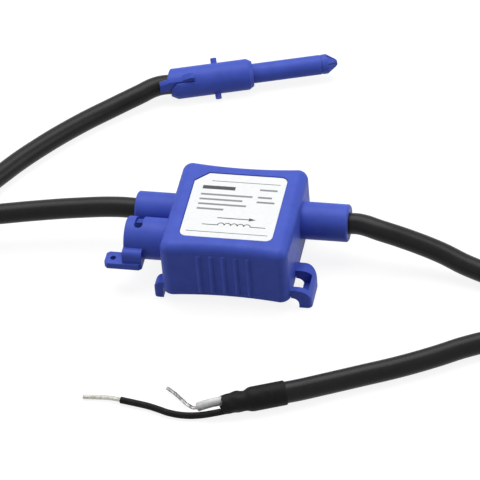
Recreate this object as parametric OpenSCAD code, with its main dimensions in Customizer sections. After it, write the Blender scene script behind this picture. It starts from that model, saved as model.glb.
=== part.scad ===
// Split flexible-coil current sensor: a moulded clasp with a label, the flexible coil that
// leaves it and ends in a bayonet plug, and an output lead that ends in two tinned wires.
// Millimetres. The origin is on the floor under the middle of the clasp's overall length,
// +X runs along the tubes towards the output lead and +Z is up.

/* [Housing] */
// Width of the housing between its left and right walls
body_w = 37.3; // [36:0.1:42]
// Depth of the housing over its corners
body_d = 39.2; // [38:0.1:44]
// Height of the housing with its base cover
body_h = 18.6; // [18:0.1:22]
// Height of the base above the floor, on the feet
foot_h = 2.6; // [2:0.1:4]
// Thickness of the side walls
wall = 1.8; // [1.4:0.1:2.2]
// Thickness of the roof under the label
roof = 2.2; // [1.6:0.1:2.6]
// Hollow of the front and back walls at their middle
waist = 1; // [0.4:0.1:1.4]
// Radius of the upright corners
corner_r = 3; // [2:0.1:4]
// Radius of the top edges
edge_r = 3; // [2:0.1:3.6]

/* [Tubes] */
// Height of the tubes' axes above the underside of the base
axis_rise = 9.5; // [9.3:0.1:9.7]
// Distance between the socket's axis and the gland's axis
axis_gap = 12.6; // [12.2:0.1:14]
// Outside diameter of the tube that holds the fixed end of the coil
gland_od = 10.4; // [9.4:0.1:11]
// Length of that tube outside the wall
gland_len = 11.8; // [9:0.1:14]
// Outside diameter of the tube of the output lead
output_od = 11; // [9.6:0.1:12]
// Length of that tube outside the wall
output_len = 13.6; // [10:0.1:16]
// Outside diameter of the plug socket
socket_od = 12.3; // [12.1:0.1:12.8]
// Length of the plug socket outside the wall
socket_len = 12.2; // [11:0.1:14]

/* [Plug] */
// Outside diameter of the locking collar
collar_od = 9.6; // [9.4:0.1:9.8]
// Length of the locking collar
collar_len = 25.6; // [24:0.1:27]
// Diameter of the plug's tip
tip_d = 6.1; // [5.4:0.1:6.2]
// Length of the tip in front of the collar
tip_len = 26.4; // [24:0.1:27]
// Diameter of the two bayonet pins
pin_d = 1.9; // [1.6:0.1:2]
// Distance of the pins' ends from the plug's axis
pin_reach = 6.4; // [6:0.1:6.4]
// Turn of the collar between its free and its locked position
lock_turn = 70; // [50:1:75]

/* [Cables] */
// Diameter of the flexible coil
coil_d = 6.1; // [5.6:0.1:6.2]
// Diameter of the output lead
lead_d = 6.2; // [5.6:0.1:6.3]
// Radius of the wound lead at the middle of its turns
wind_r = 35; // [34:0.5:40]

/* [Label] */
// Width of the label
label_w = 27; // [22:0.1:29]
// Depth of the label
label_d = 27.7; // [22:0.1:29]
// Thickness of the label
label_t = 0.2; // [0.1:0.05:0.3]

/* [Hidden] */
$fn = 48;
blue = "#4057ad";
black = "#2b2b2d";
tin = "#b9bbbe";

// Clearances, each between two pieces that are put together
fit = 0.05;
slide = 0.12;
cable_room = 0.3;
run = 0.06;
snap_play = 0.2;
slot_room = 0.4;
socket_room = 0.5;
tip_room = 0.6;

// How far a cut runs past the face that it starts from
past = 1;

// Housing levels and walls
tab_reach = 5.3;
half_len = (tab_reach + socket_len + body_w + output_len) / 2;
left_x = -half_len + tab_reach + socket_len;
right_x = left_x + body_w;
body_x = (left_x + right_x) / 2;
cover_rim = 1.5;
cover_t = 3;
shell_z = foot_h + cover_rim;
top_z = foot_h + body_h;
axis_y = axis_gap / 2;
axis_z = foot_h + axis_rise;
cavity_x = body_w / 2 - wall;
cavity_y = body_d / 2 - waist - wall;
cavity_top = top_z - roof;
gland_mouth = left_x - gland_len;
socket_mouth = left_x - socket_len;
output_mouth = right_x + output_len;
rim_chamfer = 0.4;
corner_steps = 8;
edge_steps = 8;
wall_steps = 6;
corner_least = 0.4;

// Socket, tip tunnel and bayonet track
pin_back = 11.4;
pin_depth = 3.9;
lock_tilt = 10;
detent = 0.1;
socket_r = collar_od / 2 + slide;
socket_end = socket_mouth + pin_depth + pin_back + socket_room;
tunnel_r = tip_d / 2 + slide;
tunnel_end = socket_end + tip_len + tip_room;
tunnel_wall = 1.4;
slot_w = pin_d + slot_room;
slot_x = socket_mouth + pin_depth;
boss_len = 5.7;
boss_out = 2.6;
boss_front = socket_od / 2 + boss_out;
boss_top = 1.2;
boss_round = 1.8;
tab_out = 3.4;
tab_in = 1.8;
tab_front = socket_od / 2 + tab_out;
tab_back = socket_od / 2 - tab_in;
tab_top = -2.3;
tab_t = 1.9;
tab_chamfer = 0.8;
seal_hole_r = 0.85;
seal_hole_in = 2.3;

// Label recess
recess = 0.35;
recess_gap = 0.25;
label_r = 2;
label_cut = 3.8;

// Grip ribs on the front wall
rib_count = 5;
rib_pitch = 3.63;
rib_r = 0.85;
rib_sink = 0.4;
rib_top = top_z - edge_r;

// Tie lugs, each an arch with a slot for a cable tie behind a lip, and small round feet
lug_r = 6.05;
lug_t = 2.15;
lug_round = 4;
lug_len = 12.3;
lug_bar = 1.9;
lug_window = 6.7;
lug_slot = 2.4;
lug_lip = 1.1;
lug_sill = 2;
lug_front = 1.4;
lug_back = 3;
arch_r = 2;
arch_drop = 0.7;
arch_top = shell_z - arch_drop;
foot_r = 2.9;
foot_round = 1.2;
foot_rise = 3.2;
foot_top = foot_h + foot_rise;
foot_len = 3.9;
foot_gap = 0.15;
corner_inset = 1.8;
rim_gap = 0.05;
support_root = 0.6;

// Inner pieces on the axis of the gland and the lead
coil_in = 17.6;
lead_in = 8.6;
coil_stop = left_x + coil_in;
lead_stop = right_x - lead_in;
ferrule_len = 5;
ferrule_t = 0.7;
ferrule_r = coil_d / 2 + ferrule_t;
clamp_len = 3.5;
clamp_t = 1.5;
clamp_r = lead_d / 2 + clamp_t;
splice_len = 4.5;
splice_r = 1;
wire_len = 3.5;
splice_x = coil_stop + wire_len;
strand_r = 0.45;
core_r = 1.3;
tail_r = 0.95;
screen_r = 0.65;
wire_y = 1.5;

// Plug: where it lies, and the barrel that the collar turns on
collar_r = collar_od / 2;
barrel_r = 3.7;
bore_r = barrel_r + run;
collar_back = 1.5;
barrel_x = collar_back + snap_play;
snap_x = barrel_x + 1.2;
snap_w = 2.2;
snap_depth = 0.45;
bell = 4.5;
plug_rear = [-33, 72.6, collar_r];
plug_heading = 17.8;
pin_tilt = 37.5;
barb_tilt = pin_tilt + 85;
tongue_tilt = pin_tilt + 53.5;
tongue_half = 3.4;
tongue_reach = 3.4;
tongue_end = 8.4;
tongue_step = 0.9;
tongue_point = 1.1;
tongue_slit = 0.35;
plug_dir = [cos(plug_heading), sin(plug_heading), 0];
cable_end = plug_rear + barrel_x * plug_dir;

// Wound lead: two layers of three turns, one on the other
wind_gap = 0.1;
wind_pitch = lead_d + wind_gap;
wind_mid = [141, -8.2];
tie_w = 4;
tie_t = 0.7;
tie_grip = 0.1;
tie_turn = 35;

// Sleeve at the lead's far end
shrink_start = [26, -56.3, 3.5];
shrink_heading = 202.3;
shrink_dir = [cos(shrink_heading), sin(shrink_heading), 0];
shrink_side = [-sin(shrink_heading), cos(shrink_heading), 0];
shrink_len = 18.2;
shrink_step = 10.4;
shrink_r = 3.5;
shrink_neck_r = 2.85;
shrink_slope = 1;
shrink_lip = [0.4, 0.25];
shrink_end = shrink_start + shrink_len * shrink_dir;
tail_exit = shrink_end + 1.3 * shrink_side + [0, 0, -1.3];
core_exit = shrink_end - 1.2 * shrink_side + [0, 0, 0.4];

// Routes of the cables: out of a mouth or a face, then along the floor
coil_route = [
    [gland_mouth, axis_y, axis_z], [gland_mouth - 6, axis_y, axis_z], [-46, 5.5, 11.4],
    [-58, 3.7, 10.8], [-70, 1.3, 10.3], [-82, -1.2, 9.8], [-94, -3.6, 8.5], [-106, -6, 6.3],
    [-118, -8.5, 4.3], [-129, -13, 3.2], [-138, -21.5, 3.1], [-142, -33.5, 3.1],
    [-140.5, -46, 3.1], [-133.5, -56.5, 3.1], [-122.5, -63.5, 3.1], [-109.5, -65.5, 3.1],
    [-97, -61.5, 3.1], [-87.5, -52.5, 3.1], [-82.5, -41, 3.1], [-82, -29, 3.1], [-82, -17, 3.1],
    [-82, -4, 3.1], [-82, 8, 3.1], [-80, 19, 3.1], [-75, 29, 3.1], [-67.5, 40.5, 3.1],
    [-57.5, 53, 3.1], [-49, 61.6, 3.3], [-42, 67.3, 4.2], plug_rear - 4 * plug_dir, cable_end
];
near_route = [
    [output_mouth, axis_y, axis_z], [output_mouth + 3, axis_y, axis_z], [43.5, 4.9, 11.4],
    [51, 4.1, 9.6], [61, 2.4, 7], [70, -0.35, 4.7], [78.5, -2.1, 3.5], [87.5, -0.7, 3.15],
    [94.5, 2.9, 3.15], [99.5, 7.5, 3.15]
];
far_route = [
    [102.4, -32.1, 5.4], [96, -29.1, 4.3], [87.7, -27.8, 3.4], [80.2, -28.8, 3.15],
    [73.5, -31.8, 3.15], [65, -37, 3.15], [56, -42, 3.15], [45.5, -47, 3.15], [35, -52, 3.2],
    shrink_start - 4 * shrink_dir, shrink_start
];
tail_bend = [-11.5, -63.6, 1];
tail_tip = [-20, -62, 1];
tail_route = [
    tail_exit, tail_exit + 2.5 * shrink_dir, [3, -65.6, 1.1], [-1, -66, 1], [-5.5, -65.5, 1],
    tail_bend, tail_tip
];
tail_end = [
    tail_tip, tail_tip + unit(tail_tip - tail_bend), [-23.5, -61.4, 0.85], [-27, -61.4, 0.7],
    [-31, -61.7, 0.7]
];
core_bend = core_exit + 3 * shrink_dir;
core_tip = [2.5, -63.6, 2.4];
core_route = [core_exit, core_bend, core_tip];
core_end = [
    core_tip, core_tip + unit(core_tip - core_bend), [-0.5, -62.4, 1.5], [-2.9, -60, 1.1],
    [-5.5, -57.5, 0.9], [-8, -55.6, 0.8]
];

// Rings of points, and the closed skin over a list of rings
function unit(v) = v / norm(v);
function heading(path, i) = unit(path[min(i + 1, len(path) - 1)] - path[max(i - 1, 0)]);
function ring(path, i, r, sides) =
    let (t = heading(path, i), s = unit([-t.y, t.x, 0]), u = cross(t, s))
    [for (k = [0:sides - 1]) path[i] + r * (cos(360 * k / sides) * s + sin(360 * k / sides) * u)];
function centre(points) = [for (p = points) 1] * points / len(points);
function sweep_rings(path, r, sides) = [for (i = [0:len(path) - 1]) ring(path, i, r, sides)];

// Distance of the hollow front wall from the plane of the corners
function hollow(x, span) = waist * (1 - pow(x / span, 2));

// Outline of the housing at a distance inside its walls
function arc_points(mid, r, from, to, steps) =
    [for (k = [0:steps]) let (a = from + (to - from) * k / steps) mid + r * [cos(a), sin(a)]];
function outline(inset) =
    let (
        a = body_w / 2 - inset,
        b = body_d / 2 - inset,
        r = max(corner_r - inset, corner_least),
        span = a - r,
        edge = [for (k = [-wall_steps:wall_steps]) span * k / wall_steps],
        turn = 90 / corner_steps
    )
    concat(
        [for (x = edge) [x, -b + hollow(x, span)]],
        [for (k = [1:corner_steps]) [span, -b + r] + r * [cos(turn * k - 90), sin(turn * k - 90)]],
        [for (k = [0:corner_steps - 1]) [span, b - r] + r * [cos(turn * k), sin(turn * k)]],
        [for (x = edge) [-x, b - hollow(x, span)]],
        [for (k = [1:corner_steps]) [-span, b - r] + r * [cos(turn * k + 90), sin(turn * k + 90)]],
        [for (k = [0:corner_steps - 1]) [-span, -b + r] + r * [cos(turn * k + 180), sin(turn * k + 180)]]
    );
function wall_ring(inset, z) = [for (p = outline(inset)) [p.x + body_x, p.y, z]];

// Outline of the label: three round corners and one cut corner at the back left
function label_outline(grow) =
    let (a = label_w / 2 + grow, b = label_d / 2 + grow, r = label_r + grow)
    concat(
        arc_points([-a + r, -b + r], r, 180, 270, corner_steps),
        arc_points([a - r, -b + r], r, 270, 360, corner_steps),
        arc_points([a - r, b - r], r, 0, 90, corner_steps),
        [[-a + label_cut, b], [-a, b - label_cut]]
    );

module skin(rings) {
    n = len(rings[0]);
    last = len(rings) - 1;
    sides = [
        for (i = [0:last - 1], j = [0:n - 1])
            let (k = (j + 1) % n)
            each [[i * n + j, (i + 1) * n + j, (i + 1) * n + k], [i * n + j, (i + 1) * n + k, i * n + k]]
    ];
    middle = len(rings) * n;
    start_cap = [for (j = [0:n - 1]) [j, (j + 1) % n, middle]];
    end_cap = [for (j = [0:n - 1]) [last * n + (j + 1) % n, last * n + j, middle + 1]];
    points = concat([for (r = rings) each r], [centre(rings[0]), centre(rings[last])]);
    polyhedron(points, concat(sides, start_cap, end_cap));
}

// Round bar along X between two stations, on the axis y, z
module bar(from, to, r, y, z = axis_z) {
    translate([from, y, z]) rotate([0, 90, 0]) cylinder(h = to - from, r = r);
}

// Tube end with a chamfered rim, from a mouth to a station inside the wall
module spout(mouth, inner, r, y) {
    way = sign(inner - mouth);
    translate([mouth, y, axis_z])
        rotate([0, 90 * way, 0])
            rotate_extrude()
                polygon([
                    [0, 0], [r - rim_chamfer, 0], [r, rim_chamfer], [r, abs(inner - mouth)],
                    [0, abs(inner - mouth)]
                ]);
}

// What stays clear below a support: the rim of the base cover
module rim_cut() {
    translate([-past, -past]) square([foot_gap + past, shell_z + rim_gap + past]);
}

// Section of a tie lug: it leaves the wall, turns down to the floor and is arched underneath
module lug_section() {
    lug_top = shell_z + lug_t;
    mid = [lug_slot - arch_r, arch_top - arch_r];
    difference() {
        translate([-support_root, 0]) square([lug_r + support_root, lug_top]);
        corner_cut([lug_r, lug_top], lug_round, 1);
        translate(mid) circle(arch_r);
        translate([-past, -past]) square([mid.x + past, arch_top + past]);
        translate([-past, -past]) square([lug_slot + past, mid.y + past]);
        rim_cut();
    }
}

// Section of a small foot: a quarter round that clears the base cover's rim
module foot_section() {
    mid_z = foot_top - foot_r;
    difference() {
        union() {
            translate([0, mid_z])
                intersection() {
                    circle(foot_r);
                    square(foot_r);
                }
            square([foot_r, mid_z]);
            translate([-support_root, 0]) square([support_root, foot_top]);
        }
        rim_cut();
    }
}

// What a round corner leaves out of a square one
module corner_cut(corner, r, way) {
    difference() {
        translate(corner - [r, way > 0 ? r : 0]) square(r);
        translate(corner - [r, way * r]) circle(r);
    }
}

// Support on the right-hand wall near its front corner, with rounded outer corners
module wall_support(r, length, round_front, round_back) {
    front = -body_d / 2 + corner_inset;
    intersection() {
        translate([right_x, front + length, 0]) rotate([90, 0, 0]) linear_extrude(length) children();
        translate([right_x, front, 0])
            linear_extrude(top_z)
                difference() {
                    translate([-support_root, 0]) square([r + support_root, length]);
                    corner_cut([r, 0], round_front, -1);
                    corner_cut([r, length], round_back, 1);
                }
    }
}

// Tie lug at the right front and small foot at the right back
module right_supports() {
    difference() {
        wall_support(lug_r, lug_len, lug_front, lug_back) lug_section();
        translate([right_x, -body_d / 2 + corner_inset + lug_bar, 0]) {
            translate([0, 0, -past]) cube([lug_slot, lug_window, top_z]);
            translate([0, 0, lug_sill]) cube([lug_r - lug_lip, lug_window, top_z]);
        }
    }
    mirror([0, 1, 0]) wall_support(foot_r, foot_len, foot_round, foot_round) foot_section();
}

// The same supports, turned half a turn, stand on the left
module supports() {
    right_supports();
    translate([2 * body_x, 0, 0]) rotate([0, 0, 180]) right_supports();
}

module ribs() {
    span = body_w / 2 - corner_r;
    for (k = [0:rib_count - 1]) {
        x = (k - (rib_count - 1) / 2) * rib_pitch;
        translate([body_x + x, -body_d / 2 + hollow(x, span) + rib_sink, shell_z]) {
            cylinder(h = rib_top - shell_z - rib_r, r = rib_r);
            translate([0, 0, rib_top - shell_z - rib_r]) sphere(rib_r);
        }
    }
}

// Plate with the seal hole at the socket's mouth, and the round-edged boss that carries it
module seal_tab() {
    plate_len = tab_reach + boss_len;
    plate_w = tab_front - tab_back;
    translate([socket_mouth, -axis_y, axis_z]) {
        rotate([90, 0, 90])
            linear_extrude(boss_len)
                union() {
                    translate([-boss_front, tab_top - tab_t / 2])
                        square([boss_front, boss_top - boss_round - tab_top + tab_t / 2]);
                    translate([-boss_front + boss_round, 0]) square([boss_front - boss_round, boss_top]);
                    translate([-boss_front + boss_round, boss_top - boss_round]) circle(boss_round);
                }
        translate([-tab_reach, -tab_front, tab_top - tab_t])
            linear_extrude(tab_t)
                polygon([
                    [0, tab_chamfer], [tab_chamfer, 0], [plate_len - tab_chamfer, 0],
                    [plate_len, tab_chamfer], [plate_len, plate_w], [tab_chamfer, plate_w],
                    [0, plate_w - tab_chamfer]
                ]);
    }
}

// Track of one bayonet pin: in from the mouth, then round to its lock at the top
module pin_track() {
    reach = socket_od / 2 + 0.1;
    intersection() {
        rotate([0, 90, 0])
            difference() {
                translate([0, 0, -slot_w / 2]) cylinder(h = slot_w, r = reach);
                translate([0, 0, -slot_w]) cylinder(h = 2 * slot_w, r = socket_r - 1);
            }
        rotate([90 - lock_turn, 0, 0])
            rotate([0, -90, 0])
                linear_extrude(2 * slot_w, center = true)
                    polygon([
                        [0, 0], [0, 2 * reach], [2 * reach, 2 * reach],
                        [2 * reach * sin(lock_turn), 2 * reach * cos(lock_turn)]
                    ]);
    }
    cylinder(h = reach, r = slot_w / 2 + detent);
    rotate([90 - lock_turn, 0, 0])
        translate([-pin_depth - past, 0, -slot_w / 2])
            cube([pin_depth + past + slot_w / 2, reach, slot_w]);
}

module cavity() {
    translate([body_x - cavity_x, -cavity_y, 0]) cube([2 * cavity_x, 2 * cavity_y, cavity_top]);
}

// Closed tube for the plug's tip, inside the housing
module tip_tube(grow) {
    bar(socket_end, tunnel_end + tunnel_wall + grow, tunnel_r + tunnel_wall + grow, -axis_y);
}

module housing_shell() {
    rings = concat(
        [wall_ring(0, shell_z)],
        [
            for (k = [0:edge_steps])
                let (a = 90 * k / edge_steps)
                wall_ring(edge_r * (1 - cos(a)), top_z - edge_r * (1 - sin(a)))
        ]
    );
    color(blue) difference() {
        union() {
            difference() {
                skin(rings);
                cavity();
            }
            spout(gland_mouth, left_x + wall, gland_od / 2, axis_y);
            spout(socket_mouth, socket_end + tunnel_wall, socket_od / 2, -axis_y);
            spout(output_mouth, right_x - wall, output_od / 2, axis_y);
            tip_tube(0);
            ribs();
            supports();
            seal_tab();
        }
        bar(gland_mouth - past, left_x + wall + past, coil_d / 2 + slide, axis_y);
        bar(right_x - wall - past, output_mouth + past, lead_d / 2 + slide, axis_y);
        bar(socket_mouth - past, socket_end, socket_r, -axis_y);
        bar(socket_end - past, tunnel_end, tunnel_r, -axis_y);
        translate([slot_x, -axis_y, axis_z]) {
            rotate([lock_tilt, 0, 0]) pin_track();
            rotate([lock_tilt + 180, 0, 0]) pin_track();
        }
        translate([socket_mouth - tab_reach + seal_hole_in, -axis_y - (tab_front + tab_back) / 2, 0])
            cylinder(h = axis_z, r = seal_hole_r);
        translate([body_x, 0, top_z - recess])
            linear_extrude(recess + past) polygon(label_outline(recess_gap));
    }
}

module base_cover() {
    soft = 0.8;
    root = 0.5;
    rings = concat(
        [for (a = [0:30:90]) wall_ring(soft * (1 - sin(a)), foot_h + soft * (1 - cos(a)))],
        [wall_ring(0, shell_z)]
    );
    color(blue) union() {
        skin(rings);
        translate([body_x - cavity_x + fit, -cavity_y + fit, shell_z - root])
            cube([2 * (cavity_x - fit), 2 * (cavity_y - fit), cover_t - cover_rim + root]);
    }
}

module label() {
    color("white")
        translate([body_x, 0, top_z - recess]) linear_extrude(label_t) polygon(label_outline(0));
}

// Resin that fills the housing round the inner pieces
module potting() {
    floor_z = foot_h + cover_t + fit;
    color("#5b5f63") difference() {
        translate([body_x - cavity_x + fit, -cavity_y + fit, floor_z])
            cube([2 * (cavity_x - fit), 2 * (cavity_y - fit), cavity_top - fit - floor_z]);
        bar(left_x, socket_end + tunnel_wall + fit, socket_od / 2 + fit, -axis_y);
        tip_tube(fit);
        bar(left_x, coil_stop + fit, coil_d / 2 + fit, axis_y);
        bar(coil_stop - ferrule_len - fit, coil_stop + fit, ferrule_r + fit, axis_y);
        bar(lead_stop - fit, right_x, lead_d / 2 + fit, axis_y);
        bar(lead_stop - fit, lead_stop + clamp_len + fit, clamp_r + fit, axis_y);
        for (y = [axis_y - wire_y, axis_y + wire_y]) {
            bar(coil_stop, lead_stop, strand_r + fit, y);
            bar(splice_x - fit, splice_x + splice_len + fit, splice_r + fit, y);
        }
        bar(splice_x + splice_len, lead_stop, core_r + fit, axis_y + wire_y);
        bar(splice_x + splice_len, lead_stop, tail_r + fit, axis_y - wire_y);
    }
}

module coil_fixed_end() {
    color(black) bar(gland_mouth, coil_stop, coil_d / 2, axis_y);
}

module coil_end_ferrule() {
    color("#b08d57") difference() {
        bar(coil_stop - ferrule_len, coil_stop, ferrule_r, axis_y);
        bar(coil_stop - ferrule_len - past, coil_stop + past, coil_d / 2 + fit, axis_y);
    }
}

// Bare wire from the coil's end into its splice
module coil_wire(y) {
    color(tin) bar(coil_stop, splice_x + splice_len / 2 - fit, strand_r, y);
}

module coil_wire_start() coil_wire(axis_y + wire_y);

module coil_wire_return() coil_wire(axis_y - wire_y);

// Crimped sleeve that joins a coil wire to a wire of the lead
module splice(y) {
    color("#c7a15a") difference() {
        bar(splice_x, splice_x + splice_len, splice_r, y);
        bar(splice_x - past, splice_x + splice_len + past, strand_r + fit, y);
    }
}

module splice_start() splice(axis_y + wire_y);

module splice_return() splice(axis_y - wire_y);

// Insulated wire of the lead with its stripped end in the splice
module inner_wire(y, r, shade) {
    color(shade) union() {
        bar(splice_x + splice_len / 2 + fit, lead_stop - tail_r, strand_r, y);
        bar(splice_x + splice_len + fit, lead_stop, r, y);
    }
}

module lead_core_inner() inner_wire(axis_y + wire_y, core_r, "ivory");

module lead_screen_inner() inner_wire(axis_y - wire_y, tail_r, black);

module lead_inner_end() {
    color(black) bar(lead_stop, output_mouth, lead_d / 2, axis_y);
}

module lead_clamp() {
    color("#b08d57") difference() {
        bar(lead_stop, lead_stop + clamp_len, clamp_r, axis_y);
        bar(lead_stop - past, lead_stop + clamp_len + past, lead_d / 2 + fit, axis_y);
    }
}

module coil_cable() {
    color(black) skin(sweep_rings(coil_route, coil_d / 2, 10));
}

// Brings a shape along +X to the plug, as it lies on the floor
module at_plug() {
    translate(plug_rear) rotate([0, 0, plug_heading]) children();
}

// Solid of revolution about +X from a list of [station, radius]
module turned(profile) {
    rotate([90, 0, 90]) rotate_extrude() polygon([for (p = profile) [p[1], p[0]]]);
}

// Moulded end of the coil: a barrel with a snap groove, and the tip with a ring line and a nose
module plug_core() {
    tip_r = tip_d / 2;
    tip_end = collar_len + tip_len;
    nose = 3.2;
    nose_edge = 0.6;
    nose_edge_r = 1.28;
    nose_r = 0.67;
    grooves = 6;
    groove_w = 0.5;
    groove_depth = 0.3;
    line_x = tip_end - nose - 2;
    line_w = 0.4;
    line_depth = 0.15;
    barrel_end = collar_len - bell;
    nose_slope = atan2(tip_r - nose_edge_r, nose - nose_edge);
    color(blue) at_plug() difference() {
        turned([
            [barrel_x, 0], [barrel_x, barrel_r], [snap_x, barrel_r], [snap_x, barrel_r - snap_depth],
            [snap_x + snap_w, barrel_r - snap_depth], [snap_x + snap_w, barrel_r],
            [barrel_end, barrel_r], [barrel_end, tip_r], [line_x, tip_r],
            [line_x, tip_r - line_depth], [line_x + line_w, tip_r - line_depth],
            [line_x + line_w, tip_r], [tip_end - nose, tip_r], [tip_end - nose_edge, nose_edge_r],
            [tip_end, nose_r], [tip_end, 0]
        ]);
        for (k = [0:grooves - 1])
            rotate([360 * k / grooves, 0, 0])
                translate([tip_end - nose_edge, 0, nose_edge_r])
                    rotate([0, nose_slope, 0])
                        translate([-nose, -groove_w / 2, -groove_depth])
                            cube([2 * nose, groove_w, nose]);
    }
}

// Plan of the collar's tongue: broad between its slits, narrowed on one side over the cable
module tongue_plan(grow) {
    low = -tongue_half - grow;
    high = tongue_half + grow;
    point = -tongue_half + tongue_point + grow;
    polygon([
        [-tongue_reach, low], [tongue_end, low], [tongue_end, high], [tongue_step, high],
        [-tongue_step, point], [-tongue_reach, point]
    ]);
}

// Brings a plan drawn on the unrolled collar out along the tongue's direction
module tongue_cut(grow) {
    rotate([tongue_tilt - 90, 0, 0]) linear_extrude(2 * collar_r) tongue_plan(grow);
}

// Collar that turns on the barrel: two pins, and a tongue between slits with a barb on it
module locking_collar() {
    lip_r = barrel_r - snap_depth + run;
    cable_r = coil_d / 2 + cable_room;
    rear_taper = [2, 1.1];
    front_taper = [1.5, 0.9];
    tongue_thin = 0.6;
    pin_root = 0.7;
    barb_x = 5.4;
    barb_h = 1.2;
    barb_w = 1.8;
    barb_ramp = 1.6;
    barb_top = 0.6;
    barb_end = 2;
    color(blue) at_plug() {
        difference() {
            union() {
                difference() {
                    turned([
                        [0, 0], [0, collar_r - rear_taper.y], [rear_taper.x, collar_r],
                        [collar_len - front_taper.x, collar_r],
                        [collar_len, collar_r - front_taper.y], [collar_len, 0]
                    ]);
                    intersection() {
                        tongue_cut(tongue_slit);
                        translate([tongue_end - 1, 0, 0])
                            rotate([0, -90, 0])
                                cylinder(h = tongue_end, r = collar_od);
                    }
                }
                intersection() {
                    tongue_cut(0);
                    turned([
                        [-tongue_reach, 0], [-tongue_reach, collar_r - tongue_thin], [0, collar_r],
                        [tongue_end, collar_r], [tongue_end, 0]
                    ]);
                }
                for (a = [0, 180])
                    rotate([pin_tilt + a - 90, 0, 0])
                        translate([collar_len - pin_back, 0, collar_r - pin_root])
                            cylinder(h = pin_reach - collar_r + pin_root, r = pin_d / 2);
                rotate([barb_tilt - 90, 0, 0])
                    translate([barb_x, barb_w / 2, 0])
                        rotate([90, 0, 0])
                            linear_extrude(barb_w)
                                polygon([
                                    [-barb_ramp, bore_r], [barb_end, bore_r],
                                    [barb_end, collar_r + barb_h], [barb_top, collar_r + barb_h],
                                    [-barb_ramp, collar_r]
                                ]);
            }
            turned([
                [-tongue_reach - past, 0], [-tongue_reach - past, cable_r], [collar_back, cable_r],
                [collar_back, bore_r], [snap_x + snap_play, bore_r], [snap_x + snap_play, lip_r],
                [snap_x + snap_w - snap_play, lip_r], [snap_x + snap_w - snap_play, bore_r],
                [collar_len + past, bore_r], [collar_len + past, 0]
            ]);
        }
    }
}

module lead_near() {
    color(black) skin(sweep_rings(near_route, lead_d / 2, 10));
}

// Section of the wound lead, and of the tie round it, as [distance from the middle turn, height]
function wind_section(grow) =
    let (r = lead_d / 2 + grow, low = lead_d / 2, high = low + wind_pitch)
    [
        for (p = concat(
            arc_points([wind_pitch, low], r, -90, 0, corner_steps),
            arc_points([wind_pitch, high], r, 0, 90, corner_steps),
            arc_points([-wind_pitch, high], r, 90, 180, corner_steps),
            arc_points([-wind_pitch, low], r, 180, 270, corner_steps)
        ))
            [p.x, max(p.y, 0)]
    ];

module lead_coil() {
    color(black)
        translate([wind_mid.x, wind_mid.y, 0])
            rotate_extrude($fn = 72)
                polygon([for (p = wind_section(0)) [wind_r + p.x, p.y]]);
}

module lead_tie() {
    color("#44464a")
        translate([wind_mid.x, wind_mid.y, 0])
            rotate([90, 0, tie_turn])
                translate([wind_r, 0, 0])
                    linear_extrude(tie_w, center = true)
                        difference() {
                            polygon(wind_section(tie_t));
                            translate([0, tie_t / 2]) polygon(wind_section(-tie_grip));
                        }
}

module lead_far() {
    color(black) skin(sweep_rings(far_route, lead_d / 2, 10));
}

// Stepped sleeve shrunk over the end of the lead's jacket and the roots of its wires
module heat_shrink() {
    color(black)
        translate(shrink_start)
            rotate([0, 0, shrink_heading])
                turned([
                    [0, 0], [0, shrink_r - shrink_lip.y], [shrink_lip.x, shrink_r], [shrink_step, shrink_r],
                    [shrink_step + shrink_slope, shrink_neck_r], [shrink_len, shrink_neck_r], [shrink_len, 0]
                ]);
}

module screen_tail() {
    color(black) skin(sweep_rings(tail_route, tail_r, 8));
}

module screen_strands() {
    color(tin) skin(sweep_rings(tail_end, screen_r, 8));
}

module core_wire() {
    color("ivory") skin(sweep_rings(core_route, core_r, 8));
}

module core_strands() {
    color(tin) skin(sweep_rings(core_end, strand_r, 8));
}

housing_shell();
base_cover();
label();
potting();
coil_fixed_end();
coil_end_ferrule();
coil_wire_start();
coil_wire_return();
splice_start();
splice_return();
lead_core_inner();
lead_screen_inner();
lead_inner_end();
lead_clamp();
coil_cable();
plug_core();
locking_collar();
lead_near();
lead_coil();
lead_tie();
lead_far();
heat_shrink();
screen_tail();
screen_strands();
core_wire();
core_strands();
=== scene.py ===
from math import cos, pi, radians, sin

import bmesh
import bpy
from mathutils import Matrix, Vector


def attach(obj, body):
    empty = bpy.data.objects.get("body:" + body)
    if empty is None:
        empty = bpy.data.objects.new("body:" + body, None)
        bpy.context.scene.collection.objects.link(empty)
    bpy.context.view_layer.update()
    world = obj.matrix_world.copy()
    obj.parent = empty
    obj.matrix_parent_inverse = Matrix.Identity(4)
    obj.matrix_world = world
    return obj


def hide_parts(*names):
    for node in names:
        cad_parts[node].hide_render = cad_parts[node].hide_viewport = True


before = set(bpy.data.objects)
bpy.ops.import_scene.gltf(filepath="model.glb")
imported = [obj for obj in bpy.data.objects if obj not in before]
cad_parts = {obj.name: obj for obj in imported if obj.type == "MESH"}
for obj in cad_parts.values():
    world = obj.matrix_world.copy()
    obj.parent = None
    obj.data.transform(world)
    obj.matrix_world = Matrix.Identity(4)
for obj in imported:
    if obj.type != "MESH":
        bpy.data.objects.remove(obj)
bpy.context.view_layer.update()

# The table: a plain white sheet that runs out of sight, under a broad soft lamp overhead and two
# weaker ones, on the left and on the right. The camera and glossy surfaces see the sheet and the
# room as white, and the sheet keeps the soft shadow under the sensor.
sheet_half, sheet_drop = 4.0, 0.0002
sheet_bounce, sheet_shadow, sheet_glow = 0.36, 0.2, 0.87
room_glow, room_white = 0.26, 1.0
scene = bpy.context.scene
scene.view_settings.view_transform = "Standard"


def new_object(name, data):
    thing = bpy.data.objects.new(name, data)
    scene.collection.objects.link(thing)
    return thing


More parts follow.
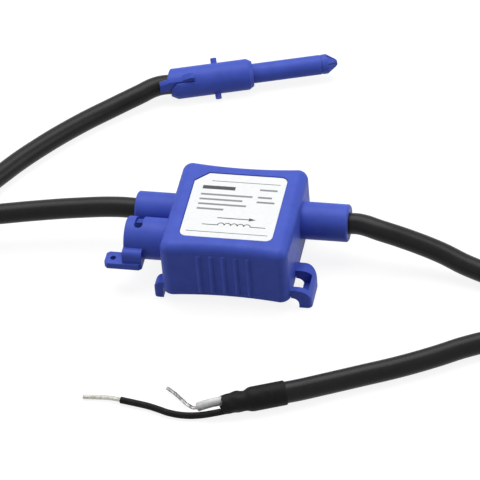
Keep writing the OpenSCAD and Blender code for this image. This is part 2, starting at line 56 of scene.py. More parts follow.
def seen_directly(nodes, links):
    """1 on rays from the camera, a mirror or a clear body, and 0 on rays that carry light."""
    path = nodes.new("ShaderNodeLightPath")
    seen = path.outputs["Is Camera Ray"]
    for ray in ("Is Glossy Ray", "Is Transmission Ray"):
        either = nodes.new("ShaderNodeMath")
        either.operation = "MAXIMUM"
        links.new(seen, either.inputs[0])
        links.new(path.outputs[ray], either.inputs[1])
        seen = either.outputs[0]
    return seen


def lit_and_seen(nodes, links, lit, seen, end):
    """One shader for the rays that carry light, and another where the surface is seen directly."""
    choice = nodes.new("ShaderNodeMixShader")
    links.new(seen_directly(nodes, links), choice.inputs[0])
    links.new(lit.outputs[0], choice.inputs[1])
    links.new(seen.outputs[0], choice.inputs[2])
    links.new(choice.outputs[0], end.inputs["Surface"])


def white_sheet():
    material = bpy.data.materials.new("white_sheet")
    material.use_nodes = True
    nodes, links = material.node_tree.nodes, material.node_tree.links
    nodes.clear()
    bounce = nodes.new("ShaderNodeBsdfDiffuse")
    bounce.inputs["Color"].default_value = (sheet_bounce, sheet_bounce, sheet_bounce, 1)
    shadow = nodes.new("ShaderNodeBsdfDiffuse")
    shadow.inputs["Color"].default_value = (sheet_shadow, sheet_shadow, sheet_shadow, 1)
    glow = nodes.new("ShaderNodeEmission")
    glow.inputs["Strength"].default_value = sheet_glow
    bright = nodes.new("ShaderNodeAddShader")
    links.new(shadow.outputs[0], bright.inputs[0])
    links.new(glow.outputs[0], bright.inputs[1])
    lit_and_seen(nodes, links, bounce, bright, nodes.new("ShaderNodeOutputMaterial"))
    return material


def white_room():
    room = bpy.data.worlds.new("white_room")
    room.use_nodes = True
    nodes, links = room.node_tree.nodes, room.node_tree.links
    nodes.clear()
    light = nodes.new("ShaderNodeBackground")
    light.inputs["Strength"].default_value = room_glow
    view = nodes.new("ShaderNodeBackground")
    view.inputs["Color"].default_value = (1, 1, 1, 1)
    view.inputs["Strength"].default_value = room_white
    lit_and_seen(nodes, links, light, view, nodes.new("ShaderNodeOutputWorld"))
    return room


def soft_lamp(name, place, size, watts):
    """A square lamp that faces the origin."""
    lamp = bpy.data.lights.new(name, "AREA")
    lamp.shape = "SQUARE"
    lamp.size = size
    lamp.energy = watts
    holder = new_object(name, lamp)
    holder.location = place
    holder.rotation_euler = Vector(place).to_track_quat("Z", "Y").to_euler()


sheet_mesh = bpy.data.meshes.new("table_sheet")
sheet_corners = [
    (-sheet_half, -sheet_half, -sheet_drop),
    (sheet_half, -sheet_half, -sheet_drop),
    (sheet_half, sheet_half, -sheet_drop),
    (-sheet_half, sheet_half, -sheet_drop),
]
sheet_mesh.from_pydata(sheet_corners, [], [(0, 1, 2, 3)])
sheet_mesh.materials.append(white_sheet())
new_object("table_sheet", sheet_mesh)
scene.world = white_room()
soft_lamp("lamp_overhead", place=(-0.1, 0.3, 0.9), size=0.8, watts=8.8)
soft_lamp("lamp_front_left", place=(-1.0, -0.4, 0.45), size=0.5, watts=2.4)
soft_lamp("lamp_right", place=(0.9, 0.15, 0.45), size=0.6, watts=3.4)


# The camera stands a metre off, high on the front right, and is tipped a little to one side.
# A long lens keeps the clasp's edges nearly parallel.
def aim_camera(turn, height, roll, middle, distance, off_right, off_up, lens):
    """A camera placed about a middle, and aimed at a point to the right of that and above it."""
    away = Vector((sin(turn) * cos(height), -cos(turn) * cos(height), sin(height)))
    level = Vector((cos(turn), sin(turn), 0))
    over = away.cross(level)
    right = cos(roll) * level + sin(roll) * over
    up = cos(roll) * over - sin(roll) * level
    eye = middle + distance * away
    away = (eye - middle - off_right * right - off_up * up).normalized()
    right = up.cross(away).normalized()
    up = away.cross(right)
    glass = bpy.data.cameras.new("camera")
    glass.lens = lens
    holder = new_object("camera", glass)
    holder.matrix_world = Matrix.Translation(eye) @ Matrix((right, up, away)).transposed().to_4x4()
    scene.camera = holder


aim_camera(
    turn=radians(14.25),
    height=radians(41.66),
    roll=radians(-5.35),
    middle=Vector((0.00195, 0, 0)),
    distance=1.0,
    off_right=0.00029,
    off_up=0.00611,
    lens=257.1,
)

# The clasp: a shell and a base cover moulded in blue plastic with a fine satin grain, joined round
# the bottom. The edges are crisp and a hair rounded, and a painted highlight makes them a little paler.
merge_gap, flat_angle, crisp_angle = 2e-6, radians(0.4), radians(35)
edge_r, edge_samples, edge_highlight_paint = 0.0003, 4, 0.45
# The cosine of the edge's turn from its face, where the painted highlight starts and where it is palest.
edge_starts, edge_turned = 0.99, 0.75


class Finish:
    """A material in the making: its shader, with patterns on the object's own coordinates."""

    def __init__(self, name, roughness, gloss=0.5):
        self.material = bpy.data.materials.new(name)
        self.material.use_nodes = True
        self.nodes = self.material.node_tree.nodes
        self.links = self.material.node_tree.links
        self.shader = self.nodes["Principled BSDF"]
        self.shader.inputs["Roughness"].default_value = roughness
        self.shader.inputs["Specular IOR Level"].default_value = gloss
        self.where = self.nodes.new("ShaderNodeTexCoord").outputs["Object"]

    def grain(self, per_metre, detail=3.0):
        """A cloudy pattern of values from 0 to 1."""
        noise = self.nodes.new("ShaderNodeTexNoise")
        noise.inputs["Scale"].default_value = per_metre
        noise.inputs["Detail"].default_value = detail
        self.links.new(self.where, noise.inputs["Vector"])
        return noise.outputs["Fac"]

    def tones(self, per_metre, low, high):
        """A colour that drifts between two tones."""
        ramp = self.nodes.new("ShaderNodeValToRGB")
        start, stop = ramp.color_ramp.elements
        start.position, stop.position = 0.3, 0.7
        start.color, stop.color = (*low, 1), (*high, 1)
        self.links.new(self.grain(per_metre), ramp.inputs["Fac"])
        return ramp.outputs["Color"]

    def colour(self, per_metre, low, high):
        self.links.new(self.tones(per_metre, low, high), self.shader.inputs["Base Color"])

    def satin(self, per_metre, low, high):
        """Smoother and rougher patches."""
        change = self.nodes.new("ShaderNodeMapRange")
        change.inputs["To Min"].default_value = low
        change.inputs["To Max"].default_value = high
        self.links.new(self.grain(per_metre), change.inputs["Value"])
        self.links.new(change.outputs["Result"], self.shader.inputs["Roughness"])

    def bumps(self, per_metre, depth, strength, detail=3.0):
        """A fine uneven surface."""
        bump = self.nodes.new("ShaderNodeBump")
        bump.inputs["Distance"].default_value = depth
        bump.inputs["Strength"].default_value = strength
        self.links.new(self.grain(per_metre, detail), bump.inputs["Height"])
        self.links.new(bump.outputs["Normal"], self.shader.inputs["Normal"])
        return bump


def blue_moulding():
    """Blue plastic with a painted highlight that pales it where the rounded edge turns away from its
    face.
    """
    finish = Finish("blue_moulding", roughness=0.45, gloss=0.15)
    nodes, links = finish.nodes, finish.links
    flats = finish.tones(260, low=(0.050, 0.085, 0.45), high=(0.058, 0.099, 0.505))
    rounded = nodes.new("ShaderNodeBevel")
    rounded.samples = edge_samples
    rounded.inputs["Radius"].default_value = edge_r
    facing = nodes.new("ShaderNodeNewGeometry")
    turned = nodes.new("ShaderNodeVectorMath")
    turned.operation = "DOT_PRODUCT"
    links.new(rounded.outputs["Normal"], turned.inputs[0])
    links.new(facing.outputs["Normal"], turned.inputs[1])
    # Painted highlight: the colour pales where the rounded edge turns away from its face.
    painted_edge_highlight = nodes.new("ShaderNodeMapRange")
    painted_edge_highlight.inputs["From Min"].default_value = edge_starts
    painted_edge_highlight.inputs["From Max"].default_value = edge_turned
    painted_edge_highlight.inputs["To Max"].default_value = edge_highlight_paint
    links.new(turned.outputs["Value"], painted_edge_highlight.inputs["Value"])
    # The lighter blue of the painted edge highlight, mixed over the plain tone.
    edge_highlight_mix = nodes.new("ShaderNodeMix")
    edge_highlight_mix.data_type = "RGBA"
    links.new(painted_edge_highlight.outputs["Result"], edge_highlight_mix.inputs["Factor"])
    links.new(flats, edge_highlight_mix.inputs["A"])
    edge_highlight_mix.inputs["B"].default_value = (0.13, 0.19, 0.64, 1)
    links.new(edge_highlight_mix.outputs["Result"], finish.shader.inputs["Base Color"])
    finish.satin(900, low=0.38, high=0.54)
    bump = finish.bumps(5200, depth=0.00004, strength=0.35, detail=2.0)
    links.new(rounded.outputs["Normal"], bump.inputs["Normal"])
    return finish.material


def piece_from(form, name, *materials):
    """A piece made of a finished mesh form."""
    mesh = bpy.data.meshes.new(name)
    form.to_mesh(mesh)
    form.free()
    for material in materials:
        mesh.materials.append(material)
    return new_object(name, mesh)


def fix_shape(piece):
    """The piece's modifiers, made into its mesh."""
    shaped = piece.evaluated_get(bpy.context.evaluated_depsgraph_get())
    mesh = bpy.data.meshes.new_from_object(shaped)
    piece.modifiers.clear()
    piece.data = mesh


def moulded(node, name, material):
    """A copy of a CAD solid with its curved faces smooth and its edges crisp."""
    form = bmesh.new()
    form.from_mesh(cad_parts[node].data)
    bmesh.ops.remove_doubles(form, verts=form.verts, dist=merge_gap)
    bmesh.ops.dissolve_limit(form, angle_limit=flat_angle, verts=form.verts, edges=form.edges)
    for face in form.faces:
        face.smooth = True
    for line in form.edges:
        line.smooth = line.calc_face_angle(0) < crisp_angle
    piece = piece_from(form, name, material)
    even = piece.modifiers.new("even_faces", "WEIGHTED_NORMAL")
    even.keep_sharp = True
    fix_shape(piece)
    return piece


blue = blue_moulding()
for node, name in (("housing_shell", "clasp_shell"), ("base_cover", "clasp_base")):
    piece = moulded(node, name, blue)
    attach(piece, "sensor")
    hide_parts(node)

# The label: a white film with three round corners and one cut corner, stuck into the shallow recess
# on top. Its print is plain: two rules, bars of different lengths, and the sign for a winding.
MM = 0.001
label_x, label_top = 1.95, 21.05
label_w, label_d, label_t = 27.0, 27.7, 0.2
label_r, label_cut, corner_steps = 2.0, 3.8, 8
film_edge_w = 0.04


def white_film():
    finish = Finish("label_white_film", roughness=0.45, gloss=0.2)
    finish.colour(700, low=(0.77, 0.79, 0.80), high=(0.82, 0.83, 0.83))
    finish.satin(2500, low=0.4, high=0.55)
    finish.bumps(4000, depth=0.00002, strength=0.15)
    return finish.material


def printing_ink(name, low, high):
    finish = Finish(name, roughness=0.55)
    finish.colour(6000, low, high)
    return finish.material


def label_outline():
    """The film's three round corners, and then its cut one."""
    a, b = label_w / 2, label_d / 2
    round_corners = [
        (-a + label_r, -b + label_r, 180),
        (a - label_r, -b + label_r, 270),
        (a - label_r, b - label_r, 0),
    ]
    outline = []
    for x, y, start in round_corners:
        for step in range(corner_steps + 1):
            angle = radians(start + 90 * step / corner_steps)
            outline.append((x + label_r * cos(angle), y + label_r * sin(angle)))
    return outline + [(-a + label_cut, b), (-a, b - label_cut)]


def thin_plate(form, outline, low, high, ink=0):
    """A closed plate from an outline in millimetres about the label's middle."""
    bottom, top = [
        [form.verts.new(Vector((label_x + x, y, z)) * MM) for x, y in outline] for z in (low, high)
    ]
    faces = [form.faces.new(reversed(bottom)), form.faces.new(top)]
    for i in range(len(outline)):
        j = (i + 1) % len(outline)
        faces.append(form.faces.new((bottom[i], bottom[j], top[j], top[i])))
    for face in faces:
        face.material_index = ink


film_form = bmesh.new()
thin_plate(film_form, label_outline(), label_top - label_t, label_top)
film = piece_from(film_form, "label_film", white_film())
film_edge = film.modifiers.new("cut_edge", "BEVEL")
film_edge.width = film_edge_w * MM
film_edge.segments = 2
fix_shape(film)
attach(film, "sensor")
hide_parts("label")

black_ink, grey_ink = 0, 1
ink_t, ink_sunk = 0.012, 0.003
rule_h, heading_h, bar_h = 0.22, 1.5, 0.75
# A rule is its left end, its place up the label and its length, and a bar is the last two of these.
rules = [(-8.4, 10.6, 20.2), (-11.9, -11.6, 23.8)]
left_x, right_x, heading_y, heading_len = -10.6, 6.2, 7.7, 9.6
left_bars = [(4.6, 15.2), (2.5, 12.6), (0.4, 14.1), (-1.7, 7.8)]
right_bars = [(7.9, 5.2), (4.6, 4.1), (2.5, 5.2)]
winding_x, winding_y, wire_len, line_w = -3.2, -8.4, 4.6, 0.3
loop_count, loop_r, loop_steps = 5, 0.95, 12
shaft_x, shaft_y, shaft_len, shaft_h = -3.8, -5.3, 9.2, 0.35
arrow_x, arrow_len, arrow_half = shaft_x + shaft_len, 2, 0.7
print_form = bmesh.new()


def printed(outline, ink):
    """A patch of ink that stands a hair above the film."""
    thin_plate(print_form, outline, label_top - ink_sunk, label_top + ink_t, ink)


def bar(x, y, length, height, ink):
    low, high = y - height / 2, y + height / 2
    printed([(x, low), (x + length, low), (x + length, high), (x, high)], ink)


def half_loop(x, y):
    """A loop of the winding, drawn as half a ring."""
    angles = [pi * step / loop_steps for step in range(loop_steps + 1)]
    outer, inner = [
        [(x + r * cos(a), y + r * sin(a)) for a in angles]
        for r in (loop_r + line_w / 2, loop_r - line_w / 2)
    ]
    printed(outer + inner[::-1], black_ink)


for x, y, length in rules:
    bar(x, y, length, rule_h, black_ink)
bar(left_x, heading_y, heading_len, heading_h, black_ink)
for y, length in left_bars:
    bar(left_x, y, length, bar_h, grey_ink)
for y, length in right_bars:
    bar(right_x, y, length, bar_h, grey_ink)
for loop in range(loop_count):
    half_loop(winding_x + (2 * loop + 1) * loop_r, winding_y)
bar(winding_x - wire_len, winding_y, wire_len + line_w / 2, line_w, black_ink)
bar(winding_x + 2 * loop_count * loop_r - line_w / 2, winding_y, wire_len, line_w, black_ink)
bar(shaft_x, shaft_y, shaft_len, shaft_h, black_ink)
arrow_point = (arrow_x + arrow_len, shaft_y)
printed([(arrow_x, shaft_y - arrow_half), arrow_point, (arrow_x, shaft_y + arrow_half)], black_ink)
label_print = piece_from(
    print_form,
    "label_print",
    printing_ink("label_black_ink", low=(0.015, 0.015, 0.016), high=(0.03, 0.03, 0.032)),
    printing_ink("label_grey_ink", low=(0.17, 0.175, 0.18), high=(0.24, 0.245, 0.25)),
)
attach(label_print, "sensor")

# The coil: a springy flexible coil in a smooth black jacket. It leaves the gland, runs out to the
# left in one loose loop on the table and comes back behind the clasp to its plug.
coil_d = 0.0061
plug_rear, plug_heading = Vector((-33, 72.6, 4.8)), radians(17.8)
plug_along = Vector((cos(plug_heading), sin(plug_heading), 0))
plug_straight, plug_depth = 4, 1.7
coil_route = [
    (-28.5, 6.3, 12.1), (-34.5, 6.3, 12.1), (-46, 5.5, 11.4), (-58, 3.7, 10.8), (-70, 1.3, 10.3),
    (-82, -1.2, 9.8), (-94, -3.6, 8.5), (-106, -6, 6.3), (-118, -8.5, 4.3), (-129, -13, 3.2),
    (-138, -21.5, 3.1), (-142, -33.5, 3.1), (-140.5, -46, 3.1), (-133.5, -56.5, 3.1),
    (-122.5, -63.5, 3.1), (-109.5, -65.5, 3.1), (-97, -61.5, 3.1), (-87.5, -52.5, 3.1),
    (-82.5, -41, 3.1), (-82, -29, 3.1), (-82, -17, 3.1), (-82, -4, 3.1), (-82, 8, 3.1),
    (-80, 19, 3.1), (-75, 29, 3.1), (-67.5, 40.5, 3.1), (-57.5, 53, 3.1), (-49, 61.6, 3.3),
    (-42, 67.3, 4.2), plug_rear - plug_straight * plug_along, plug_rear + plug_depth * plug_along,
]


def black_jacket(name, dark, light, roughness):
    finish = Finish(name, roughness, gloss=0.18)
    finish.colour(420, dark, light)
    finish.satin(1300, low=roughness - 0.06, high=roughness + 0.08)
    finish.bumps(3800, depth=0.00004, strength=0.25, detail=2.0)
    return finish.material


def curve_through(name, route, steps):
    """A smooth curve through the points of a route, given in millimetres."""
    curve = bpy.data.curves.new(name, "CURVE")
    curve.dimensions = "3D"
    curve.resolution_u = steps
    spline = curve.splines.new("BEZIER")
    spline.bezier_points.add(len(route) - 1)
    for point, place in zip(spline.bezier_points, route):
        point.co = Vector(place) * MM
        point.handle_left_type = point.handle_right_type = "AUTO"
    return curve


def laid_cable(name, route, diameter, material):
    """A round cable with closed ends: its route is in millimetres and its diameter in metres."""
    curve = curve_through(name, route, steps=6)
    curve.bevel_depth = diameter / 2
    curve.bevel_resolution = 6
    curve.use_fill_caps = True
    curve.materials.append(material)
    cable = new_object(name, curve)
    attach(cable, "sensor")
    return cable


coil_skin = black_jacket("coil_jacket", (0.004, 0.004, 0.004), (0.008, 0.008, 0.008), roughness=0.36)
coil = laid_cable("coil_cable_jacket", coil_route, coil_d, coil_skin)
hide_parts("coil_cable")

# The plug: a moulded barrel and a long blunt tip on the coil's free end. The locking collar turns
# on the barrel, with two bayonet pins and a springy tongue that lies over the cable.
plug = moulded("plug_core", "plug_barrel_and_tip", blue)
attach(plug, "sensor")
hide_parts("plug_core")
collar = moulded("locking_collar", "plug_locking_collar", blue)
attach(collar, "collar")
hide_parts("locking_collar")

# The output lead: a screened lead in a smooth black jacket. It comes down from the output tube to
# the table, is wound up out of the way, and its far end comes back in front of the clasp.
lead_d = 0.0062
near_route = [
    (34.2, 6.3, 12.1), (37.2, 6.3, 12.1), (43.5, 4.9, 11.4), (51, 4.1, 9.6), (61, 2.4, 7),
    (70, -0.35, 4.7), (78.5, -2.1, 3.5), (87.5, -0.7, 3.15), (94.5, 2.9, 3.15), (99.5, 7.5, 3.15),
]
shrink_start, shrink_heading, shrink_straight = Vector((26, -56.3, 3.5)), radians(202.3), 4
shrink_along = Vector((cos(shrink_heading), sin(shrink_heading), 0))
far_route = [
    (102.4, -32.1, 5.4), (96, -29.1, 4.3), (87.7, -27.8, 3.4), (80.2, -28.8, 3.15), (73.5, -31.8, 3.15),
    (65, -37, 3.15), (56, -42, 3.15), (45.5, -47, 3.15), (35, -52, 3.2),
    shrink_start - shrink_straight * shrink_along, shrink_start,
]
wind_mid, wind_outer, wind_pitch = Vector((141, -8.2, 0)), 43.4, 6.3
# Each stage of the winding ends at an angle, in degrees turned since its start.
wind_start, wind_step = 151.96, 15
inward_end, climb_end, outward_end = 950, 1070, 2085
wind_inner, wind_tuck = wind_outer - wind_pitch * inward_end / 360, 2.1
wind_low = 3.15
wind_high = wind_low + wind_pitch
drop_start, drop_angle, drop = 1960, 190, 4.5


def ease(t):
    """A smooth step from 0 to 1."""
    t = min(max(t, 0), 1)
    return t * t * (3 - 2 * t)


def wound_lead():
    """Turns of the lead: a spiral inwards on the table, a climb, and a spiral outwards on top."""
    places = []
    for turned in range(0, outward_end + wind_step, wind_step):
        if turned < inward_end:
            radius, height = wind_outer - wind_pitch * turned / 360, wind_low
        elif turned < climb_end:
            part = (turned - inward_end) / (climb_end - inward_end)
            radius = wind_inner - wind_tuck * part * (1 - part)
            height = wind_low + (wind_high - wind_low) * ease(part)
        else:
            radius = wind_inner + wind_pitch * (turned - climb_end) / 360
            height = wind_high - drop * ease((turned - drop_start) / drop_angle)
        angle = radians(wind_start - turned)
        places.append(wind_mid + Vector((radius * cos(angle), radius * sin(angle), height)))
    return places


lead_skin = black_jacket("lead_jacket", (0.005, 0.005, 0.006), (0.009, 0.009, 0.010), roughness=0.34)
lead = laid_cable("output_lead_jacket", near_route + wound_lead() + far_route, lead_d, lead_skin)
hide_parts("lead_near", "lead_coil", "lead_far")

# The tie: a moulded strap with a ratchet head that holds the turns together. It goes round the
# outside of the turns, flat under them, and its cut end stands out of the head.
tie_angle, tie_r, turn_r, turn_steps = radians(35), 35, 3.1, 8
strap_w, strap_t, strap_play = 4.0, 0.9, 0.05
faces_down, under_t, under_top, table_gap = -0.9, 0.35, 0.36, 0.02
head_gap = 0.1
head_u, head_z = wind_pitch + turn_r + head_gap, (wind_low + wind_high) / 2
head_plan, head_half = [(0, -2.6), (3.9, -2.2), (3.9, 2.2), (0, 2.6)], 2.9
cut_end_plan, cut_end_half = [(1.4, 2), (2.5, 2), (2.6, 5.4), (1.7, 5.9)], 1.9
tie_edge_w, tie_edge_angle = 0.18, radians(40)
tie_across = Vector((cos(tie_angle), sin(tie_angle), 0))
tie_along = Vector((-sin(tie_angle), cos(tie_angle), 0))


def tie_black():
    finish = Finish("tie_nylon", roughness=0.5, gloss=0.25)
    finish.colour(500, low=(0.02, 0.02, 0.021), high=(0.028, 0.028, 0.03))
    finish.bumps(3000, depth=0.00004, strength=0.2)
    return finish.material


def strap_line():
    """The line round the turns under the strap: outward, up, and the two parts of its normal."""
    corners = [
        (wind_pitch, wind_low, -90),
        (wind_pitch, wind_high, 0),
        (-wind_pitch, wind_high, 90),
        (-wind_pitch, wind_low, 180),
    ]
    line = []
    for u, z, start in corners:
        for step in range(turn_steps + 1):
            angle = radians(start + 90 * step / turn_steps)
            line.append((u + turn_r * cos(angle), z + turn_r * sin(angle), cos(angle), sin(angle)))
    return line


def tie_place(u, z, w):
    """A point of the tie from its place outward, up and along the turns."""
    return (wind_mid + tie_across * (tie_r + u) + tie_along * w + Vector((0, 0, z))) * MM


def tie_strap(form):
    """The closed strap, thinner where it lies under the turns."""
    half = strap_w / 2
    rings = []
    for u, z, normal_u, normal_z in strap_line():
        thick = strap_t if normal_z > faces_down else under_t
        inner = (u + strap_play * normal_u, max(z + strap_play * normal_z, under_top))
        outer = (u + thick * normal_u, max(z + thick * normal_z, table_gap))
        section = [(inner, -half), (outer, -half), (outer, half), (inner, half)]
        rings.append([form.verts.new(tie_place(*place, w)) for place, w in section])
    for ring, after in zip(rings, rings[1:] + rings[:1]):
        for k in range(len(ring)):
            j = (k + 1) % len(ring)
            form.faces.new((ring[k], ring[j], after[j], after[k]))


def tie_block(form, plan, half):
    """A straight block of the head from its plan, outward and up, and half its width."""
    corners = [(head_u + u, head_z + z) for u, z in plan]
    near, far = [[form.verts.new(tie_place(u, z, w)) for u, z in corners] for w in (-half, half)]
    form.faces.new(near)
    form.faces.new(reversed(far))
    for i in range(len(corners)):
        j = (i + 1) % len(corners)
        form.faces.new((near[j], near[i], far[i], far[j]))


tie_form = bmesh.new()
tie_strap(tie_form)
tie_block(tie_form, head_plan, head_half)
tie_block(tie_form, cut_end_plan, cut_end_half)
bmesh.ops.recalc_face_normals(tie_form, faces=tie_form.faces)
for face in tie_form.faces:
    face.smooth = True
tie = piece_from(tie_form, "lead_tie_strap", tie_black())
tie_edge = tie.modifiers.new("moulded_edge", "BEVEL")
tie_edge.width = tie_edge_w * MM
tie_edge.segments = 2
tie_edge.limit_method = "ANGLE"
tie_edge.angle_limit = tie_edge_angle
tie_even = tie.modifiers.new("even_faces", "WEIGHTED_NORMAL")
tie_even.keep_sharp = True
fix_shape(tie)
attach(tie, "sensor")
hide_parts("lead_tie")

# The sleeve: heat-shrink tube over the end of the jacket. It steps down over the bare part, is a
# little crumpled there, and its cut end is uneven round the two wires.
shrink_side, upward = Vector((-sin(shrink_heading), cos(shrink_heading), 0)), Vector((0, 0, 1))
sleeve_sides = 64
neck_start, neck_len = 9.8, 2.4
ragged_start, ragged_len = 15, 3
sleeve_profile = [
    (0, 3.12), (0, 3.3), (0.1, 3.43), (0.35, 3.5), (1.5, 3.5), (3, 3.5), (4.5, 3.5), (6, 3.5), (7.5, 3.5),
    (8.7, 3.5), (9.6, 3.48), (10.2, 3.38), (10.7, 3.18), (11.1, 2.98), (11.6, 2.88), (12.2, 2.9),
    (12.9, 3.0), (13.6, 3.04), (14.4, 2.98), (15.2, 2.88), (16, 2.8), (16.8, 2.75), (17.5, 2.72),
    (18.1, 2.7), (18.2, 2.62), (18.15, 2.35), (17.6, 2.25), (16.6, 2.2),
]
# Each wave of the crumples: its height, how many go round, its turn for each millimetre, its start.
crumples = [(0.09, 3, 0.9, 0), (0.06, 5, -1.3, 1), (0.04, 2, 2.1, 0)]
# Each wave of the cut: its height, how many go round, its start.
ragged_cut = [(0.28, 2, 0.7), (0.16, 5, 0), (0.08, 9, 2)]


def shrunk_black():
    finish = Finish("shrink_tube", roughness=0.52, gloss=0.11)
    finish.colour(380, low=(0.004, 0.004, 0.004), high=(0.010, 0.010, 0.010))
    finish.satin(800, low=0.44, high=0.62)
    finish.bumps(1800, depth=0.00008, strength=0.3, detail=4.0)
    return finish.material


def sleeve_ring(x, radius):
    """A ring of the sleeve, crumpled past the step and uneven at the cut."""
    ring = []
    for k in range(sleeve_sides):
        a = 2 * pi * k / sleeve_sides
        crumple = sum(high * sin(waves * a + turn * x + start) for high, waves, turn, start in crumples)
        ragged = sum(high * sin(waves * a + start) for high, waves, start in ragged_cut)
        along = x + ragged * ease((x - ragged_start) / ragged_len)
        out = radius + crumple * ease((x - neck_start) / neck_len)
        place = shrink_start + along * shrink_along + out * (cos(a) * shrink_side + sin(a) * upward)
        place.z = max(place.z, table_gap)
        ring.append(place)
    return ring


def tube_through(rings, name, material):
    """A closed tube with smooth sides through rings of points, given in millimetres."""
    form = bmesh.new()
    loops = [[form.verts.new(place * MM) for place in ring] for ring in rings]
    for first, second in zip(loops, loops[1:]):
        for k in range(len(first)):
            j = (k + 1) % len(first)
            form.faces.new((first[k], second[k], second[j], first[j])).smooth = True
    form.faces.new(loops[0])
    form.faces.new(reversed(loops[-1]))
    bmesh.ops.recalc_face_normals(form, faces=form.faces)
    return piece_from(form, name, material)


shrunk = shrunk_black()
sleeve_rings = [sleeve_ring(x, radius) for x, radius in sleeve_profile]
sleeve = tube_through(sleeve_rings, "lead_end_sleeve", shrunk)
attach(sleeve, "sensor")
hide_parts("heat_shrink")

# The screen wire: the lead's screen, gathered into a thin black sleeve, with its tinned strands
# bare at the end. It leaves the shrunk sleeve low down and lies on the table.
shrink_len, wire_tuck = 18.2, 1.4
tail_d, tail_aside, tail_down, tail_straight = 0.0019, 1.3, 1.3, 2.5
shrink_end = shrink_start + shrink_len * shrink_along
tail_exit = shrink_end + tail_aside * shrink_side - tail_down * upward
tail_bend, tail_tip, tail_hidden = Vector((-11.5, -63.6, 1)), Vector((-20, -62, 1)), 1.5
tail_route = [
    tail_exit - wire_tuck * shrink_along, tail_exit, tail_exit + tail_straight * shrink_along,
    (3, -65.6, 1.1), (-1, -66, 1), (-5.5, -65.5, 1), (-8.3, -64.6, 1),
    tail_bend, (-15.7, -62.75, 1), tail_tip,
]
tail_along = (tail_tip - tail_bend).normalized()
tail_strand_route = [
    tail_tip - tail_hidden * tail_along, tail_tip, tail_tip + tail_along,
    (-23.5, -61.4, 0.85), (-27, -61.4, 0.7), (-31, -61.7, 0.7),
]
strand_sides = 10
tail = laid_cable("screen_wire_sleeve", tail_route, tail_d, shrunk)
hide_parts("screen_tail")


def tinned(name, dull, bright, per_metre):
    finish = Finish(name, roughness=0.32)
    finish.shader.inputs["Metallic"].default_value = 1.0
    finish.colour(per_metre, dull, bright)
    finish.satin(2500, low=0.25, high=0.42)
    return finish.material


def strand_maker():
    """Strands laid side by side round a middle one and twisted along a path."""
    tree = bpy.data.node_groups.new("twisted_strands", "GeometryNodeTree")
    given_sockets = {
        "Path": "Geometry",
        "Strands": "Int",
        "Strand radius": "Float",
        "Lay radius": "Float",
        "Twists": "Float",
        "Rings": "Int",
        "Tinning": "Material",
    }
    for name, kind in given_sockets.items():
        tree.interface.new_socket(name, in_out="INPUT", socket_type="NodeSocket" + kind)
    tree.interface.new_socket("Strands made", in_out="OUTPUT", socket_type="NodeSocketGeometry")
    nodes, links = tree.nodes, tree.links
    given, made = nodes.new("NodeGroupInput"), nodes.new("NodeGroupOutput")
    steps = nodes.new("GeometryNodeResampleCurve")
    links.new(given.outputs["Path"], steps.inputs["Curve"])
    links.new(given.outputs["Rings"], steps.inputs["Count"])
    part = nodes.new("GeometryNodeSplineParameter")
    turns = nodes.new("ShaderNodeMath")
    turns.operation = "MULTIPLY"
    links.new(part.outputs["Factor"], turns.inputs[0])
    links.new(given.outputs["Twists"], turns.inputs[1])
    angle = nodes.new("ShaderNodeMath")
    angle.operation = "MULTIPLY"
    angle.inputs[1].default_value = 2 * pi
    links.new(turns.outputs[0], angle.inputs[0])
    twist = nodes.new("GeometryNodeSetCurveTilt")
    links.new(steps.outputs["Curve"], twist.inputs["Curve"])
    links.new(angle.outputs[0], twist.inputs["Tilt"])
    places = nodes.new("GeometryNodeMeshCircle")
    links.new(given.outputs["Strands"], places.inputs["Vertices"])
    links.new(given.outputs["Lay radius"], places.inputs["Radius"])
    strand = nodes.new("GeometryNodeCurvePrimitiveCircle")
    strand.inputs["Resolution"].default_value = strand_sides
    links.new(given.outputs["Strand radius"], strand.inputs["Radius"])
    laid = nodes.new("GeometryNodeInstanceOnPoints")
    links.new(places.outputs["Mesh"], laid.inputs["Points"])
    links.new(strand.outputs["Curve"], laid.inputs["Instance"])
    single = nodes.new("GeometryNodeRealizeInstances")
    links.new(laid.outputs["Instances"], single.inputs["Geometry"])
    bundle = nodes.new("GeometryNodeJoinGeometry")
    links.new(single.outputs["Geometry"], bundle.inputs["Geometry"])
    links.new(strand.outputs["Curve"], bundle.inputs["Geometry"])
    drawn = nodes.new("GeometryNodeCurveToMesh")
    drawn.inputs["Fill Caps"].default_value = True
    links.new(twist.outputs["Curve"], drawn.inputs["Curve"])
    links.new(bundle.outputs["Geometry"], drawn.inputs["Profile Curve"])
    whole = nodes.new("GeometryNodeRealizeInstances")
    links.new(drawn.outputs["Mesh"], whole.inputs["Geometry"])
    coat = nodes.new("GeometryNodeSetMaterial")
    links.new(given.outputs["Tinning"], coat.inputs["Material"])
    links.new(whole.outputs["Geometry"], coat.inputs["Geometry"])
    links.new(coat.outputs["Geometry"], made.inputs["Strands made"])
    return tree


strand_tree = strand_maker()


def stripped_end(name, route, tinning, strands, strand_r, lay_r, twists, rings):
    """Bare strands along a route, with their radii in millimetres."""
    drawn = new_object(name + "_path", curve_through(name, route, steps=12))
    laying = drawn.modifiers.new("laying", "NODES")
    laying.node_group = strand_tree
    values = {
        "Strands": strands,
        "Strand radius": strand_r * MM,
        "Lay radius": lay_r * MM,
        "Twists": twists,
        "Rings": rings,
        "Tinning": tinning,
    }
    for item in strand_tree.interface.items_tree:
        if item.in_out == "INPUT" and item.name in values:
            laying[item.identifier] = values[item.name]
    twisted = drawn.evaluated_get(bpy.context.evaluated_depsgraph_get())
    mesh = bpy.data.meshes.new_from_object(twisted)
    bpy.data.objects.remove(drawn)
    for face in mesh.polygons:
        face.use_smooth = True
    mesh.name = name
    piece = new_object(name, mesh)
    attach(piece, "sensor")
    return piece


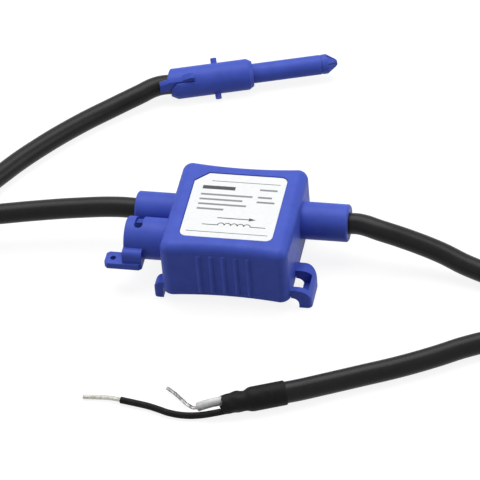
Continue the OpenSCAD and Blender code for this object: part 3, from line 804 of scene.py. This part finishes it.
screen_tinning = tinned("screen_tinning", (0.34, 0.33, 0.30), (0.58, 0.57, 0.53), per_metre=1500)
tail_strands = stripped_end(
    "screen_wire_strands",
    tail_strand_route,
    screen_tinning,
    strands=6,
    strand_r=0.22,
    lay_r=0.43,
    twists=2.0,
    rings=60,
)
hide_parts("screen_strands")

# The core wire: a milky insulated core that carries the signal, short and stripped, with its own
# tinned strands bent off over the table.
core_aside, core_up, core_straight, core_hidden = 1.2, 0.4, 3, 1.2
core_r, core_hole, core_sides = 1.3, 0.52, 24
bend_before, bend_share = 0.6, 0.2
cut_round, cut_push, hole_depth = 0.12, 0.1, 1
core_exit = shrink_end - core_aside * shrink_side + core_up * upward
core_bend, core_tip = core_exit + core_straight * shrink_along, Vector((2.5, -63.6, 2.4))
core_line = [
    core_exit - wire_tuck * shrink_along,
    core_exit,
    core_bend - bend_before * shrink_along,
    core_bend + bend_share * (core_tip - core_bend),
    core_tip,
]
core_along = (core_tip - core_bend).normalized()
core_strand_route = [
    core_tip - core_hidden * core_along, core_tip, core_tip + core_along,
    (-0.5, -62.4, 1.5), (-2.9, -60, 1.1), (-5.5, -57.5, 0.9), (-8, -55.6, 0.8),
]


def milky_insulation():
    finish = Finish("core_milky_insulation", roughness=0.3)
    finish.colour(900, low=(0.56, 0.57, 0.58), high=(0.72, 0.72, 0.71))
    finish.shader.inputs["Subsurface Weight"].default_value = 0.4
    finish.shader.inputs["Subsurface Radius"].default_value = (0.001, 0.001, 0.001)
    return finish.material


def core_ring(at, radius, push=0):
    """A ring square to the core's line at one of its points, or pushed on along it."""
    ahead = core_line[min(at + 1, len(core_line) - 1)] - core_line[max(at - 1, 0)]
    ahead.normalize()
    side = Vector((-ahead.y, ahead.x, 0)).normalized()
    over = ahead.cross(side)
    ring = []
    for k in range(core_sides):
        a = 2 * pi * k / core_sides
        ring.append(core_line[at] + push * ahead + radius * (cos(a) * side + sin(a) * over))
    return ring


milky = milky_insulation()
last = len(core_line) - 1
core_rings = [core_ring(at, core_r) for at in range(len(core_line))]
core_rings.append(core_ring(last, core_r - cut_round, cut_push))
core_rings.append(core_ring(last, core_hole, cut_push))
core_rings.append(core_ring(last, core_hole, -hole_depth))
core = tube_through(core_rings, "core_wire_insulation", milky)
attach(core, "sensor")
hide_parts("core_wire")
core_tinning = tinned("core_tinning", (0.06, 0.06, 0.06), (0.52, 0.51, 0.49), per_metre=700)
core_strands = stripped_end(
    "core_wire_strands",
    core_strand_route,
    core_tinning,
    strands=6,
    strand_r=0.18,
    lay_r=0.35,
    twists=3.2,
    rings=72,
)
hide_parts("core_strands")


# Inside the clasp: the coil's fixed end in a crimped ferrule, its wires spliced to the two wires
# of the lead, the clamp on the lead, and the resin cast round them all.
def cast_resin():
    finish = Finish("cast_resin", roughness=0.4)
    finish.colour(300, low=(0.07, 0.08, 0.09), high=(0.1, 0.11, 0.12))
    return finish.material


def crimped_brass():
    finish = Finish("crimped_brass", roughness=0.35)
    finish.shader.inputs["Metallic"].default_value = 1.0
    finish.colour(1200, low=(0.52, 0.36, 0.13), high=(0.62, 0.45, 0.19))
    return finish.material


inside = {
    crimped_brass(): ["coil_end_ferrule", "splice_start", "splice_return", "lead_clamp"],
    cast_resin(): ["potting"],
    coil_skin: ["coil_fixed_end"],
    lead_skin: ["lead_inner_end", "lead_screen_inner"],
    screen_tinning: ["coil_wire_start", "coil_wire_return"],
    milky: ["lead_core_inner"],
}
for material, inside_nodes in inside.items():
    for node in inside_nodes:
        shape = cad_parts[node].data
        shape.materials.clear()
        shape.materials.append(material)
